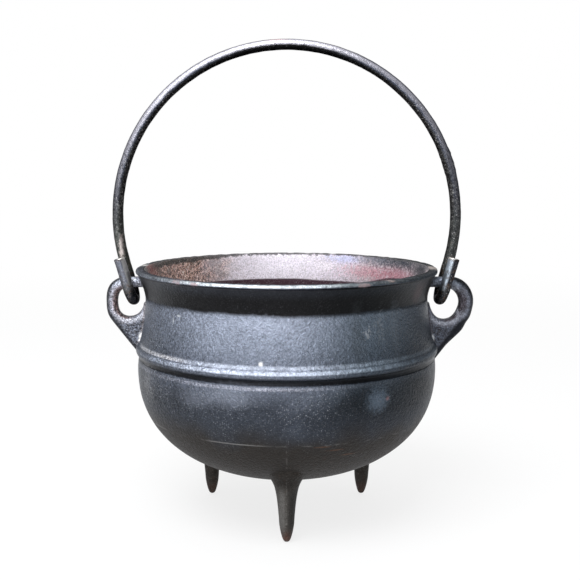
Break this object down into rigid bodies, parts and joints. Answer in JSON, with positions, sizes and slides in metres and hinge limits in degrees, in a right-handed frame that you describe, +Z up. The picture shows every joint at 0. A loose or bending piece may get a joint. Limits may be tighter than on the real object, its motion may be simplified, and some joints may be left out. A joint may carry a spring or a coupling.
{
  "type": "three-legged bean pot",
  "caption": "Round-bellied cast-iron bean pot with a flared rim, a raised bead, two loop ears, short pointed legs and a round-bar bail that swings.",
  "frame": {"origin": "on the floor, under the middle of the pot", "axes": "+Z up along the pot's axis, the front leg points to -Y, the two ears stand out along +X and -X"},
  "size_m": [0.3092, 0.2532, 0.3987],
  "materials": {
    "casting": "old cast iron, oiled near-black with a fine orange-peel grain, rust-brown inside",
    "bail_bar": "forged round bar, dark scale with worn grey patches"
  },
  "bodies": {
    "pot": {"pot_shell": "casting", "left_ear": "casting", "right_ear": "casting", "front_leg": "casting", "rear_left_leg": "casting", "rear_right_leg": "casting"},
    "bail": {"bail": "bail_bar"}
  },
  "joints": [
    {"name": "bail_swing", "type": "hinge", "parent": "pot", "child": "bail", "pos_m": [0, 0, 0.1976], "axis": [1, 0, 0], "range_deg": [-90, 90]}
  ]
}
